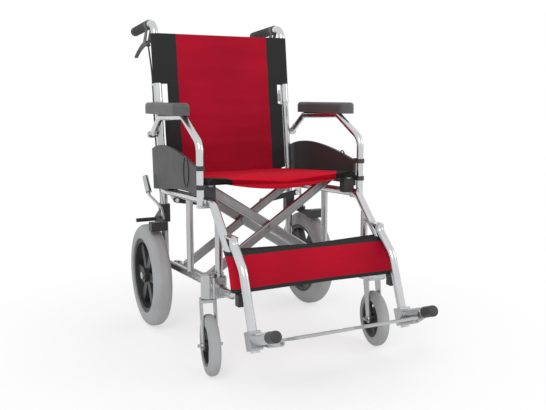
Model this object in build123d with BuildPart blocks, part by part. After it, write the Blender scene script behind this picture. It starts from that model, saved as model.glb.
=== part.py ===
from build123d import *
import math
import os

# Transport wheelchair with a folding cross-brace frame.
# Millimetres, +Z up, +Y to the rear, +X to the occupant's left.
# The origin is on the floor, under the middle of the chair.
# Distances called lead are measured forward of the rear axle.

# Driving dimensions: wheels
axle_y = 223.5
wheel_x = 266.0
wheel_r = 152.5
tyre_width = 50.0
tyre_round = 20.0
rim_r = 112.0
rim_width = 40.0
rim_wall = 12.0
spokes = 6
spoke_width = 26.0
spoke_thickness = 22.0
hub_r = 21.0
hub_width = 46.0
axle_r = 6.0
axle_nut_r = 11.0
axle_nut = 5.0
caster_x = 242.0
caster_lead = 428.0
caster_trail = 20.0
caster_turn = 9.0
caster_r = 76.0
caster_tyre_width = 28.0
caster_tyre_round = 12.0
caster_rim_r = 52.0
caster_rim_width = 22.0
caster_rim_wall = 7.0
caster_spokes = 5
caster_spoke_width = 12.0
caster_spoke_thickness = 12.0
caster_hub_r = 13.0
caster_hub_width = 30.0
caster_axle_r = 4.0
caster_nut_r = 7.0
caster_nut = 6.0
fork_leg = 4.0
fork_crown = 7.6
fork_crown_depth = 34.0
fork_eye_r = 11.0
fork_shoulder_r = 15.0
stem_r = 6.0
stem_rise = 50.0

# Driving dimensions: side frame
frame_x = 212.0
frame_r = 11.0
post_r = 9.5
post_set_back = 22.0
post_foot_z = 146.0
post_bend = 60.0
rail_rear_z = 404.0
rail_front_lead = 393.0
rail_front_z = 421.0
knee_lead = 520.0
knee_z = 294.0
toe_lead = 545.0
toe_z = 220.0
rail_end_z = 209.0
rail_bends = [45.0, 60.0, 24.0]
lower_rail_rear_z = 182.0
lower_rail_slope = 3.92
middle_post_lead = 212.0
post_lap = 5.0
saddle_corner = 3.0
collar = 8.0
axle_plate_depth = 6.0
axle_plate_length = 90.0
axle_plate_height = 65.0
axle_plate_z = 168.0
axle_plate_shift = 7.0
plate_corner = 12.0
axle_bolt_lead = 38.0
axle_bolt_z = 163.0
axle_bolt_r = 7.0
casting_bottom_z = 191.0
casting_top_z = 244.0
casting_depth = 38.0
casting_inner_x = 198.0
casting_corner = 5.0
casting_bolt_r = 4.0
casting_bolt_rise = 37.0
casting_bolt_step = 11.0
collar_r = 12.0
socket_length = 16.0
stem_housing_r = 17.5
stem_housing_bottom_z = 190.0
stem_housing_top_z = 250.0
stem_cap_r = 13.0
stem_cap_depth = 3.0
stem_chamfer = 1.5

# Driving dimensions: folding back
back_lean = 7.0
back_fold_rise = 265.0
hinge_collar = 5.0
sleeve_length = 48.0
sleeve_r = 13.0
hinge_eye_r = 6.0
hinge_pin_r = 2.5
hinge_lug = 5.0
hinge_ear = 2.5
lug_height = 12.0
handle_corner_z = 903.0
handle_reach = 298.0
handle_droop = 3.0
handle_bend = 38.0
grip_r = 14.5
grip_start = 150.0
grip_cap = 5.0
grip_ribs = 8
grip_rib_start = 22.0
grip_rib_pitch = 14.0
grip_groove = 1.2
grip_edge = 2.5
latch_thickness = 4.0
latch_turn = 26.0
latch_pivot_reach = 18.0
latch_pivot_rise = 298.0
latch_eye_r = 4.5
latch_bulb_reach = 25.0
latch_bulb_rise = 274.0
latch_bulb_r = 7.0
latch_cheek = 2.0
latch_cheek_r = 5.5

# Driving dimensions: attendant brake
clamp_length = 18.0
clamp_wall = 3.0
trigger_rear = 172.0
trigger_z = 848.0
trigger_eye_r = 6.5
trigger_width = 10.0
trigger_pin_r = 2.5
trigger_length = 128.0
trigger_drop = 36.0
trigger_blade = 9.0
ear_wall = 3.0
ear_half = 10.0
cable_r = 2.5
cable_aside = -9.0
cable_behind = 20.5
cable_bend_limit = 300.0
cable_stop_r = 5.0
cable_stop_height = 14.0
adjuster_r = 7.0
adjuster_length = 14.0
tie_wall = 1.5
tie_height = 6.0
tie_rises = [66.0, 314.0]

# Driving dimensions: armrest
arm_x = 235.0
arm_r = 9.5
arm_pivot_rear = 50.0
arm_pivot_z = 570.0
arm_pin_r = 4.0
arm_boss_r = 8.0
arm_eye_r = 11.0
bolt_head = 4.0
arm_rear_lead = 35.0
arm_rear_z = 624.0
arm_top_lead = 244.0
arm_top_z = 631.0
arm_bend_z = 567.0
arm_front_lead = 366.0
arm_foot_z = 412.0
arm_bends = [25.0, 35.0, 40.0]
arm_peg_r = 3.0
arm_peg_rise = 4.0
arm_peg_gap = 2.5
catch_floor = 6.0
pad_x = 249.0
pad_width = 46.0
pad_thickness = 32.0
pad_rear = 5.0
pad_front_lead = 285.0
pad_corner = 20.0
pad_edge = 10.0
pad_seat = 3.0
panel_x = 234.0
panel_thickness = 8.0
panel_relief = 2.0
panel_boss_lead = 265.0
panel_boss_z = 488.0
panel_boss_half_length = 22.0
panel_boss_half_height = 43.0
panel_boss_wall = 5.0
panel_clip = 12.0
panel_clip_heights = [452.0, 500.0]

# Driving dimensions: cross brace and seat
brace_tube_r = 8.0
brace_centre_rise = 125.0
brace_front_lead = 283.0
brace_rear_lead = 90.0
brace_tube_front_lead = 360.0
brace_tube_rear_lead = 15.0
bar_depth = 25.0
bar_thickness = 13.0
bar_rib = 1.0
bar_round = 4.0
bar_start = 6.5
bar_stop = 8.7
brace_bolt_r = 4.0
brace_bolt_head_r = 8.0
brace_ring_leads = [322.0, 45.0]
ring_wall = 3.5
ring_width = 14.0
seat_tube_x = 204.0
seat_tube_r = 10.0
seat_front_lead = 376.0
seat_rear_lead = 5.0
saddle_leads = [345.0, 36.0]
saddle_length = 26.0
link_pin_reach = 91.0
link_pivot_rise = 194.5
link_pivot_inset = 14.0
link_eye_r = 8.0
link_pin_r = 3.5
link_thickness = 6.0
link_plate = 4.0
link_boss_r = 5.0
link_boss_short = 2.0
link_head = 2.0
link_head_r = 6.0

# Driving dimensions: footrests
hanger_x = 206.0
hanger_r = 11.0
hanger_pivot_lead = 510.0
hanger_top_z = 350.0
hanger_neck = 12.0
hanger_knee_lead = 567.0
hanger_knee_z = 285.0
hanger_foot_lead = 633.0
hanger_foot_z = 112.0
hanger_bends = [20.0, 60.0]
hanger_pin_r = 5.0
hanger_pin_depth = 14.0
hanger_plate = 4.0
hanger_plate_r = 11.0
hanger_plate_length = 56.0
stop_length = 22.0
stop_z = 215.0
stop_height = 28.0
stop_width = 14.0
foot_tube_r = 13.5
foot_tube_drop = 27.4
foot_tube_reach = 91.0
foot_plug_length = 38.0
foot_plug_round = 6.0
foot_clamp_half = 15.0
foot_clamp_top = 20.0
foot_clamp_bottom = 24.0
plate_hinge_inset = 27.0
plate_hinge_drop = 16.0
plate_gap = 24.0
plate_thickness = 6.0
plate_rise = 3.0
plate_eye_r = 7.0
plate_pin_r = 3.5
plate_ear_starts = [20.0, 84.0]
plate_ear = 5.0
plate_front = 132.0
plate_rear = 14.0
plate_root = 18.0
plate_round = 14.0
plate_rim = 5.0

# Driving dimensions: wheel brake
brake_bar_rear = 57.0
brake_bar_z = 311.0
brake_bar_r = 6.0
brake_bar_outer = 290.0
brake_plate = 4.0
brake_clamp_bottom_z = 308.0
brake_clamp_top_z = 362.0
brake_clamp_half = 15.0
brake_lever_lead = 35.0
brake_lever_z = 332.0
brake_lever_r = 4.0
brake_grip_r = 9.0
brake_eye_r = 9.0
brake_pin_r = 4.0
lever_root_back = 12.0
lever_root_rise = 22.0
lever_spread = 10.0
lever_bend_z = 372.0
lever_grip_x = 256.0
lever_top_z = 436.0
lever_bend = 14.0
shoe_pivot_lead = -14.0
shoe_pivot_z = 319.0
shoe_lead = 72.0
shoe_z = 312.0
shoe_length = 30.0
shoe_width = 48.0
shoe_height = 26.0

# Driving dimensions: fabric
cloth = 1.6
seat_crown = 14.0
seat_sag = 11.0
seat_shelf = 34.0
seat_shelf_rise = 3.0
seat_shelf_slope = 0.15
seat_cloth_front_lead = 392.0
seat_cloth_rear_lead = 8.0
back_top_z = 868.0
back_join_z = 722.0
back_bottom_z = 455.0
back_pad = 9.0
back_lower_half = 197.0
back_notch_half = 183.0
back_notch_rise = 255.0
strap_top_z = 320.0
strap_bottom_z = 230.0
strap_wall = 2.0
strap_front_lead = 600.0
strap_top_lead = 503.0
strap_bottom_lead = 541.0

# Clearances
seat_gap = 0.05
fit_gap = 0.3
run_gap = 0.4
weld = 2.0

os.makedirs("parts", exist_ok=True)


def fore(lead):
    """The Y coordinate of a point that lies lead in front of the rear axle."""
    return axle_y - lead


def sine(degrees):
    return math.sin(math.radians(degrees))


def cosine(degrees):
    return math.cos(math.radians(degrees))


def tangent(degrees):
    return math.tan(math.radians(degrees))


def write_piece(piece, name):
    """Labels one finished piece and writes it."""
    piece.part.label = name
    export_step(piece.part, f"parts/{name}.step")


def write_pair(piece, name):
    """Writes the right-hand piece as built, and its mirror image for the left."""
    write_piece(piece, f"right_{name}")
    with BuildPart() as twin:
        mirror(piece.part, about=Plane.YZ)
    write_piece(twin, f"left_{name}")


def tube(plane, points, bends, radius, mode=Mode.ADD):
    """A round bar along a route of straight runs and bends on a plane."""
    with BuildLine(plane) as route:
        FilletPolyline(*points, radius=bends)
    with BuildSketch(Plane(origin=route.line @ 0, z_dir=route.line % 0)) as section:
        Circle(radius)
    sweep(section.sketch, path=route.line, mode=mode)


def rod(start, end, radius, mode=Mode.ADD):
    """A straight round bar between two points."""
    axis = Vector(*end) - Vector(*start)
    with BuildSketch(Plane(origin=start, z_dir=axis)) as section:
        Circle(radius)
    extrude(section.sketch, amount=axis.length, mode=mode)


def cross_rod(x_start, x_end, y, z, radius, mode=Mode.ADD):
    """A round bar along X."""
    rod((x_start, y, z), (x_end, y, z), radius, mode)


# Places on the side frame
post_y = axle_y + post_set_back
outer_face = frame_x + frame_r
inner_face = frame_x - frame_r
side = Plane.YZ.offset(-frame_x)
rail_start_y = post_y - frame_r + post_lap
casting_y = fore(caster_lead)
casting_front_y = casting_y - casting_depth / 2
casting_rear_y = casting_y + casting_depth / 2
rail_slope = (rail_front_z - rail_rear_z) / (rail_front_lead + post_set_back)


def rail_z(y):
    """The height of the upper rail's centre line, which bends down at the front."""
    beyond = axle_y - y - rail_front_lead
    if beyond > 0:
        return rail_front_z - beyond * (rail_front_z - knee_z) / (knee_lead - rail_front_lead)
    return rail_rear_z + rail_slope * (post_y - y)


def lower_rail_z(y):
    """The height of the lower rail's centre line."""
    return lower_rail_rear_z + tangent(lower_rail_slope) * (post_y - y)


def lower_rail_place(y):
    return (-frame_x, y, lower_rail_z(y))


rail_route = [
    (rail_start_y, rail_z(rail_start_y)),
    (fore(rail_front_lead), rail_front_z),
    (fore(knee_lead), knee_z),
    (fore(toe_lead), toe_z),
    (casting_front_y - run_gap, rail_end_z),
]

# Places on the leaning back, whose rises are measured along the tube from the rail
lean_side = Plane(
    origin=(-frame_x, post_y, rail_rear_z),
    x_dir=(0, cosine(back_lean), -sine(back_lean)),
    z_dir=(1, 0, 0),
)
hinge_reach = sleeve_r + hinge_eye_r + fit_gap
hinge = lean_side.from_local_coords((hinge_reach, back_fold_rise, 0))


def lean_place(rise, x=-frame_x):
    """A point on the back tube's centre line."""
    return (x, post_y + rise * sine(back_lean), rail_rear_z + rise * cosine(back_lean))


def rise_of(z):
    """How far up the leaning tube a height is."""
    return (z - rail_rear_z) / cosine(back_lean)


def back_section(rise, x=0):
    """A plane square to the back tubes: X across, Y to the rear."""
    return Plane(origin=lean_place(rise, x), x_dir=(1, 0, 0), z_dir=(0, sine(back_lean), cosine(back_lean)))


def cable_place(rise, aside=0, behind=0):
    """A point of the brake cable where it runs beside the right back tube."""
    return tuple(back_section(rise, -frame_x).from_local_coords((cable_aside - aside, cable_behind + behind, 0)))


def cable_tie(rise):
    """A tie round the right back tube, which also holds the brake cable."""
    with BuildSketch(back_section(rise, -frame_x)) as loop:
        Circle(frame_r + tie_wall)
        with Locations((cable_aside, cable_behind)):
            Circle(cable_r + tie_wall)
        make_hull()
        with Locations((cable_aside, cable_behind)):
            Circle(cable_r + seat_gap, mode=Mode.SUBTRACT)
    extrude(loop.sketch, amount=tie_height)


# The release lever lies behind the back tube and inwards of it
latch_plane = Plane(
    origin=lean_side.origin,
    x_dir=(sine(latch_turn), cosine(latch_turn) * cosine(back_lean), -cosine(latch_turn) * sine(back_lean)),
    z_dir=(cosine(latch_turn), -sine(latch_turn) * cosine(back_lean), sine(latch_turn) * sine(back_lean)),
)


# Places on the handle
handle_y = lean_place(rise_of(handle_corner_z))[1]
handle_end_y = axle_y + handle_reach
handle_dir = (0, cosine(handle_droop), -sine(handle_droop))
grip_start_y = axle_y + grip_start
grip_start_z = handle_corner_z - (grip_start_y - handle_y) * tangent(handle_droop)
grip_length = (handle_end_y - grip_start_y) / cosine(handle_droop)
grip_plane = Plane(origin=(-frame_x, grip_start_y, grip_start_z), x_dir=(1, 0, 0), z_dir=handle_dir)
trigger_y = axle_y + trigger_rear

cable_stop_y = post_y + brake_clamp_half + cable_stop_r - weld / 2
cable_stop_x = -frame_x - cable_stop_r
cable_points = [
    (-frame_x, trigger_y - ear_half * 2.2, trigger_z - ear_half),
    (-frame_x - 2, axle_y + 129, 803),
    (-frame_x - 5, axle_y + 107, 775),
    cable_place(345),
    cable_place(300),
    cable_place(240, 0.3, 2.0),
    cable_place(180, 0.4, 2.6),
    cable_place(122, 0.3, 1.8),
    cable_place(82),
    cable_place(52),
    (-frame_x - 7.5, cable_stop_y + 3.5, 422),
    (cable_stop_x, cable_stop_y, 394),
    (cable_stop_x, cable_stop_y, brake_clamp_top_z),
]


def bend_radii(points, limit):
    """For each bend, the largest radius that still leaves straight runs on both sides."""
    radii = []
    for before, corner, after in zip(points, points[1:], points[2:]):
        arrive = Vector(*corner) - Vector(*before)
        leave = Vector(*after) - Vector(*corner)
        reach = 0.45 * min(arrive.length, leave.length)
        radii.append(min(limit, reach / tangent(arrive.get_angle(leave) / 2)))
    return radii


# Places on the armrest
arm_pivot_y = axle_y + arm_pivot_rear
arm_front_y = fore(arm_front_lead)
arm_route = [
    (arm_pivot_y, arm_pivot_z),
    (fore(arm_rear_lead), arm_rear_z),
    (fore(arm_top_lead), arm_top_z),
    (arm_front_y, arm_bend_z),
    (arm_front_y, arm_foot_z),
]

# The brace axis runs beside the lower rails, level with them
brace_axis_x = inner_face - brace_tube_r - run_gap
brace_dir = (0, -cosine(lower_rail_slope), sine(lower_rail_slope))
bar_angle = math.degrees(math.atan2(brace_centre_rise, brace_axis_x))
bar_offset = bar_thickness / 2 + fit_gap
seat_tube_rise = brace_centre_rise + seat_tube_x * tangent(bar_angle)


def brace_plane(lead):
    """A plane square to the brace axis: X across the chair, Y up from the brace tubes."""
    return Plane(origin=(0, fore(lead), lower_rail_z(fore(lead))), x_dir=(1, 0, 0), z_dir=brace_dir)


def brace_place(x, rise, lead):
    """A point of the brace in space."""
    return tuple(brace_plane(lead).from_local_coords((x, rise, 0)))


# The folding links run behind the rear cross, in a plane of their own
link_pin_x = link_pin_reach * cosine(bar_angle)
link_pivot_x = frame_x - link_pivot_inset
link_pin_rise = brace_centre_rise + link_pin_reach * sine(bar_angle)
link_front = brace_plane(brace_rear_lead).offset(-bar_offset - bar_thickness / 2 - run_gap - link_boss_short)
link_rail_rise = link_front.to_local_coords(Vector(0, link_front.origin.Y, rail_z(link_front.origin.Y))).Y

# Places on the footrest, whose forward tube is square to the lower hanger
hanger_pivot_y = fore(hanger_pivot_lead)
foot_tilt = math.degrees(math.atan2(hanger_foot_lead - hanger_knee_lead, hanger_knee_z - hanger_foot_z))
foot_z = hanger_foot_z + foot_tube_drop
foot_y = fore(hanger_foot_lead) + foot_tube_drop * tangent(foot_tilt)
foot_dir = (0, -cosine(foot_tilt), sine(foot_tilt))


def foot_section(reach):
    """A plane square to the footrest's forward tube: X inwards, Y up."""
    y = foot_y - reach * cosine(foot_tilt)
    z = foot_z + reach * sine(foot_tilt)
    return Plane(origin=(-hanger_x, y, z), x_dir=(1, 0, 0), z_dir=foot_dir)


def foot_place(reach, inset, drop):
    """A point beside the forward tube."""
    return tuple(foot_section(reach).from_local_coords((inset, -drop, 0)))


# Side frame: the bent rail, from the rear post to the front casting
with BuildPart() as rail_tube:
    tube(side, rail_route, rail_bends, frame_r)
    rod((-frame_x, post_y, post_foot_z), (-frame_x, post_y, rail_rear_z + frame_r * 2), frame_r, Mode.SUBTRACT)
    # catch and peg under the foot of the armrest tube
    with BuildSketch(Plane.XY.offset(arm_foot_z - run_gap)):
        with Locations((-(frame_x - post_lap + arm_x + arm_r) / 2, arm_front_y)):
            RectangleRounded(arm_x + arm_r - frame_x + post_lap, arm_r * 2, arm_r / 2)
    extrude(amount=-catch_floor)
    rod(
        (-arm_x, arm_front_y, arm_foot_z - run_gap - weld),
        (-arm_x, arm_front_y, arm_foot_z + arm_peg_rise),
        arm_peg_r,
    )
    # pivot plate and pin of the swing-away footrest
    with BuildSketch(Plane.XY.offset(hanger_top_z + run_gap)):
        with Locations((-hanger_x, hanger_pivot_y + hanger_plate_length / 2)):
            SlotCenterToCenter(hanger_plate_length, hanger_plate_r * 2, rotation=90)
    extrude(amount=hanger_plate)
    rod(
        (-hanger_x, hanger_pivot_y, hanger_top_z - hanger_pin_depth),
        (-hanger_x, hanger_pivot_y, hanger_top_z + hanger_plate * 2),
        hanger_pin_r,
    )
    # plate that hangs from the rail and carries the folding link on a headed pin
    with BuildSketch(link_front.offset(-link_thickness - run_gap)):
        with Locations((-frame_x, link_rail_rise), (-link_pivot_x, link_pivot_rise)):
            Circle(link_eye_r)
        make_hull()
    extrude(amount=-link_plate)
    with BuildSketch(link_front.offset(-link_thickness - run_gap - weld)):
        with Locations((-link_pivot_x, link_pivot_rise)):
            Circle(link_pin_r)
    extrude(amount=link_thickness + run_gap * 2 + weld * 2)
    with BuildSketch(link_front.offset(run_gap)):
        with Locations((-link_pivot_x, link_pivot_rise)):
            Circle(link_head_r)
    extrude(amount=link_head)
write_pair(rail_tube, "rail_tube")

# Side frame: rear post and back post in one bent tube, with the axle plate
with BuildPart() as rear_post:
    with BuildSketch(Plane.YZ.offset(-outer_face - axle_plate_depth)):
        with Locations((axle_y - axle_plate_shift, axle_plate_z)):
            RectangleRounded(axle_plate_length, axle_plate_height, plate_corner)
    extrude(amount=axle_plate_depth + weld)
    rod(lower_rail_place(post_y), lower_rail_place(fore(axle_plate_length)), frame_r + seat_gap, Mode.SUBTRACT)
    post_route = [(post_y, post_foot_z), (post_y, rail_rear_z), lean_place(back_fold_rise)[1:]]
    tube(side, post_route, [post_bend], frame_r)
    rod(lean_place(back_fold_rise - hinge_collar), lean_place(back_fold_rise), sleeve_r)
    # two ears behind the tube hold the hinge pin
    ear_spread = hinge_lug / 2 + run_gap + hinge_ear / 2
    with BuildSketch(lean_side.offset(-ear_spread), lean_side.offset(ear_spread)):
        with Locations((hinge_reach, back_fold_rise)):
            Circle(hinge_eye_r)
        with Locations((hinge_reach / 2, back_fold_rise - hinge_eye_r / 2 - run_gap)):
            Rectangle(hinge_reach, hinge_eye_r)
    extrude(amount=hinge_ear / 2, both=True)
    rod(lean_place(back_fold_rise), lean_place(back_fold_rise + sleeve_length), sleeve_r + fit_gap, Mode.SUBTRACT)
    cross_rod(-frame_x - ear_spread, -frame_x + ear_spread, hinge.Y, hinge.Z, hinge_pin_r)
    # pivot boss and bolt of the armrest
    arm_outer = arm_x + arm_r + fit_gap
    cross_rod(-frame_x, -arm_x + arm_r + fit_gap, arm_pivot_y, arm_pivot_z, arm_boss_r)
    cross_rod(-frame_x, -arm_outer - bolt_head, arm_pivot_y, arm_pivot_z, arm_pin_r)
    cross_rod(-arm_outer, -arm_outer - bolt_head, arm_pivot_y, arm_pivot_z, arm_boss_r)
    cross_rod(-outer_face - axle_plate_depth, -inner_face, axle_y, wheel_r, axle_r + seat_gap, Mode.SUBTRACT)
    cross_rod(
        -outer_face - axle_plate_depth - bolt_head, -outer_face, fore(axle_bolt_lead), axle_bolt_z, axle_bolt_r
    )
    cable_tie(tie_rises[0])
write_pair(rear_post, "rear_post")

# Side frame: lower rail with the middle and front posts and the front casting
with BuildPart() as lower_frame:
    rod(lower_rail_place(rail_start_y), lower_rail_place(casting_rear_y - weld), frame_r)
    rod((-frame_x, post_y, post_foot_z), (-frame_x, post_y, rail_rear_z), frame_r, Mode.SUBTRACT)
    for lead in (middle_post_lead, caster_lead):
        y = fore(lead)
        rod((-frame_x, y, lower_rail_z(y)), (-frame_x, y, rail_z(y)), post_r)
    rod((-frame_x, casting_y, casting_top_z), (-frame_x, casting_y, casting_top_z + collar), collar_r)
    casting_outer_x = caster_x - stem_r
    with BuildSketch(Plane.XY.offset(casting_bottom_z)):
        with Locations((-(casting_inner_x + casting_outer_x) / 2, casting_y)):
            RectangleRounded(casting_outer_x - casting_inner_x, casting_depth, casting_corner)
    extrude(amount=casting_top_z - casting_bottom_z)
    rod(
        (-caster_x, casting_y, casting_bottom_z - weld),
        (-caster_x, casting_y, casting_top_z + weld),
        stem_housing_r + seat_gap,
        Mode.SUBTRACT,
    )
    # socket of the front tube, and the two clamp bolts above it
    toe_slope = (toe_z - rail_end_z) / (toe_lead + casting_front_y - axle_y)
    rod(
        (-frame_x, casting_front_y + weld, rail_end_z - weld * toe_slope),
        (-frame_x, casting_front_y - socket_length, rail_end_z + socket_length * toe_slope),
        sleeve_r,
    )
    tube(side, rail_route, rail_bends, frame_r + seat_gap, Mode.SUBTRACT)
    for step in (0, casting_bolt_step):
        bolt_z = casting_bottom_z + casting_bolt_rise + step
        bolt_x = -casting_inner_x - casting_bolt_r * 2
        rod((bolt_x, casting_front_y, bolt_z), (bolt_x, casting_front_y - bolt_head, bolt_z), casting_bolt_r)
    # rings that carry the brace tube
    for lead in brace_ring_leads:
        with BuildSketch(brace_plane(lead)):
            with Locations((-brace_axis_x, 0)):
                Circle(brace_tube_r + fit_gap + ring_wall)
            with Locations((-(brace_axis_x + frame_x) / 2, 0)):
                Rectangle(frame_x - brace_axis_x, ring_wall * 2)
        extrude(amount=ring_width / 2, both=True)
    rod(
        brace_place(-brace_axis_x, 0, brace_ring_leads[-1] - ring_width),
        brace_place(-brace_axis_x, 0, brace_ring_leads[0] + ring_width),
        brace_tube_r + fit_gap,
        Mode.SUBTRACT,
    )
write_pair(lower_frame, "lower_frame")

# Plastic fittings of the side frame: seat saddles on the rail, and the footrest's stop
with BuildPart() as frame_fittings:
    for lead in saddle_leads:
        y = fore(lead)
        saddle_top = brace_place(0, seat_tube_rise, lead)[2] - weld
        with BuildSketch(Plane.XY.offset(rail_z(y))):
            with Locations((-(inner_face - frame_r + outer_face) / 2, y)):
                RectangleRounded(outer_face - inner_face + frame_r, saddle_length, saddle_corner)
        extrude(amount=saddle_top - rail_z(y))
    rod(
        brace_place(-seat_tube_x, seat_tube_rise, 0),
        brace_place(-seat_tube_x, seat_tube_rise, seat_front_lead),
        seat_tube_r + run_gap,
        Mode.SUBTRACT,
    )
    with BuildSketch(Plane.XY.offset(stop_z - stop_height / 2)):
        with Locations((-frame_x, fore(toe_lead) - stop_length / 2)):
            RectangleRounded(stop_width, stop_length, saddle_corner)
    extrude(amount=stop_height)
    tube(side, rail_route, rail_bends, frame_r + seat_gap, Mode.SUBTRACT)
write_pair(frame_fittings, "frame_fittings")

# Folding back tube with the push handle
with BuildPart() as back_tube:
    handle_drop = (handle_end_y - handle_y) * tangent(handle_droop)
    back_route = [
        lean_place(back_fold_rise + run_gap)[1:],
        (handle_y, handle_corner_z),
        (handle_end_y, handle_corner_z - handle_drop),
    ]
    tube(side, back_route, [handle_bend], frame_r)
    rod(lean_place(back_fold_rise + run_gap), lean_place(back_fold_rise + sleeve_length), sleeve_r)
    with BuildSketch(lean_side):
        with Locations((hinge_reach, back_fold_rise)):
            Circle(hinge_eye_r)
        with Locations((hinge_reach / 2, back_fold_rise + lug_height / 2 + run_gap)):
            Rectangle(hinge_reach, lug_height)
    extrude(amount=hinge_lug / 2, both=True)
    cross_rod(-frame_x - sleeve_r, -frame_x + sleeve_r, hinge.Y, hinge.Z, hinge_pin_r + fit_gap, Mode.SUBTRACT)
    cable_tie(tie_rises[1])
    # two cheeks and the pin of the release lever
    cheek_offset = latch_thickness / 2 + run_gap + latch_cheek / 2
    with BuildSketch(latch_plane.offset(-cheek_offset), latch_plane.offset(cheek_offset)):
        with Locations((latch_pivot_reach, latch_pivot_rise)):
            Circle(latch_cheek_r)
        with Locations(((latch_pivot_reach + frame_r) / 2, latch_pivot_rise)):
            Rectangle(latch_pivot_reach - frame_r, latch_cheek_r * 2)
    extrude(amount=latch_cheek / 2, both=True)
    with BuildSketch(latch_plane):
        with Locations((latch_pivot_reach, latch_pivot_rise)):
            Circle(hinge_pin_r)
    extrude(amount=cheek_offset, both=True)
write_pair(back_tube, "back_tube")

# Ribbed rubber grip
with BuildPart() as grip:
    with BuildSketch(grip_plane):
        Circle(grip_r)
    extrude(amount=grip_length + grip_cap)
    chamfer(grip.edges().filter_by(GeomType.CIRCLE), grip_edge)
    for rib in range(grip_ribs):
        with BuildSketch(grip_plane.offset(grip_rib_start + rib * grip_rib_pitch)):
            Circle(grip_r + weld)
            Circle(grip_r - grip_groove, mode=Mode.SUBTRACT)
        extrude(amount=grip_rib_pitch / 3, mode=Mode.SUBTRACT)
    with BuildSketch(grip_plane):
        Circle(frame_r + seat_gap)
    extrude(amount=grip_length + seat_gap, mode=Mode.SUBTRACT)
write_pair(grip, "grip")

# Release lever of the folding back
with BuildPart() as back_latch:
    with BuildSketch(latch_plane):
        with Locations((latch_pivot_reach, latch_pivot_rise)):
            Circle(latch_eye_r)
        with Locations((latch_bulb_reach, latch_bulb_rise)):
            Circle(latch_bulb_r)
        make_hull()
        with Locations((latch_pivot_reach, latch_pivot_rise)):
            Circle(hinge_pin_r + fit_gap, mode=Mode.SUBTRACT)
    extrude(amount=latch_thickness / 2, both=True)
write_pair(back_latch, "back_latch")

# Attendant brake: clamp on the handle, with two ears for the lever
with BuildPart() as brake_handle:
    with BuildSketch(grip_plane.offset(-clamp_length - fit_gap)):
        Circle(frame_r + clamp_wall)
    extrude(amount=clamp_length)
    ear_offset = trigger_width / 2 + run_gap + ear_wall / 2
    with BuildSketch(side.offset(ear_offset), side.offset(-ear_offset)):
        with BuildLine():
            Polyline(
                (grip_start_y - clamp_length, grip_start_z - frame_r),
                (grip_start_y - fit_gap - weld, grip_start_z - frame_r),
                (trigger_y + ear_half, trigger_z),
                (trigger_y - ear_half / 2, trigger_z - ear_half),
                (trigger_y - ear_half * 2, trigger_z),
                close=True,
            )
        make_face()
    extrude(amount=ear_wall / 2, both=True)
    rod(
        (-frame_x, grip_start_y - clamp_length * 2, grip_start_z + clamp_length * 2 * tangent(handle_droop)),
        (-frame_x, grip_start_y, grip_start_z),
        frame_r + seat_gap,
        Mode.SUBTRACT,
    )
    cross_rod(-frame_x - ear_offset, -frame_x + ear_offset, trigger_y, trigger_z, trigger_pin_r)
    # adjuster that takes the end of the cable
    cable_top = Plane(origin=cable_points[0], z_dir=Vector(*cable_points[0]) - Vector(*cable_points[1]))
    with BuildSketch(cable_top):
        Circle(adjuster_r)
    extrude(amount=adjuster_length)
write_pair(brake_handle, "brake_handle")

# Attendant brake lever, curved to the hand
with BuildPart() as brake_trigger:
    with BuildSketch(side):
        with BuildLine():
            blade_top = Spline(
                (trigger_y, trigger_z + trigger_eye_r),
                (trigger_y + trigger_length / 2, trigger_z - trigger_drop / 4),
                (trigger_y + trigger_length, trigger_z - trigger_drop),
            )
            blade_under = Spline(
                (trigger_y, trigger_z - trigger_eye_r),
                (trigger_y + trigger_length / 2, trigger_z - trigger_drop / 4 - trigger_blade),
                (trigger_y + trigger_length - trigger_blade / 2, trigger_z - trigger_drop - trigger_blade / 2),
            )
            Line(blade_top @ 0, blade_under @ 0)
            Line(blade_top @ 1, blade_under @ 1)
        make_face()
        with Locations((trigger_y, trigger_z)):
            Circle(trigger_eye_r)
    extrude(amount=trigger_width / 2, both=True)
    cross_rod(
        -frame_x - trigger_width,
        -frame_x + trigger_width,
        trigger_y,
        trigger_z,
        trigger_pin_r + fit_gap,
        Mode.SUBTRACT,
    )
write_pair(brake_trigger, "brake_trigger")

# Brake cable, held by the lever's adjuster, two ties and the wheel brake
with BuildPart() as brake_cable:
    radii = bend_radii(cable_points, cable_bend_limit)
    with BuildLine() as cable_route:
        cable_line = FilletPolyline(*cable_points, radius=radii)
    with BuildSketch(Plane(origin=cable_route.line @ 0, z_dir=cable_route.line % 0)):
        Circle(cable_r)
    sweep(path=cable_route.line)
write_pair(brake_cable, "brake_cable")
print("brake cable", round(cable_line.length, 1), "mm long, bend radii", [round(radius) for radius in radii])

# Armrest tube with its pivot eye
with BuildPart() as arm_tube:
    tube(Plane.YZ.offset(-arm_x), arm_route, arm_bends, arm_r)
    cross_rod(-arm_x - arm_r, -arm_x + arm_r, arm_pivot_y, arm_pivot_z, arm_eye_r)
    cross_rod(-arm_x - arm_r, -arm_x + arm_r, arm_pivot_y, arm_pivot_z, arm_pin_r + fit_gap, Mode.SUBTRACT)
    rod(
        (-arm_x, arm_front_y, arm_foot_z),
        (-arm_x, arm_front_y, arm_foot_z + arm_peg_rise * 2),
        arm_peg_r + arm_peg_gap,
        Mode.SUBTRACT,
    )
write_pair(arm_tube, "arm_tube")

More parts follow.
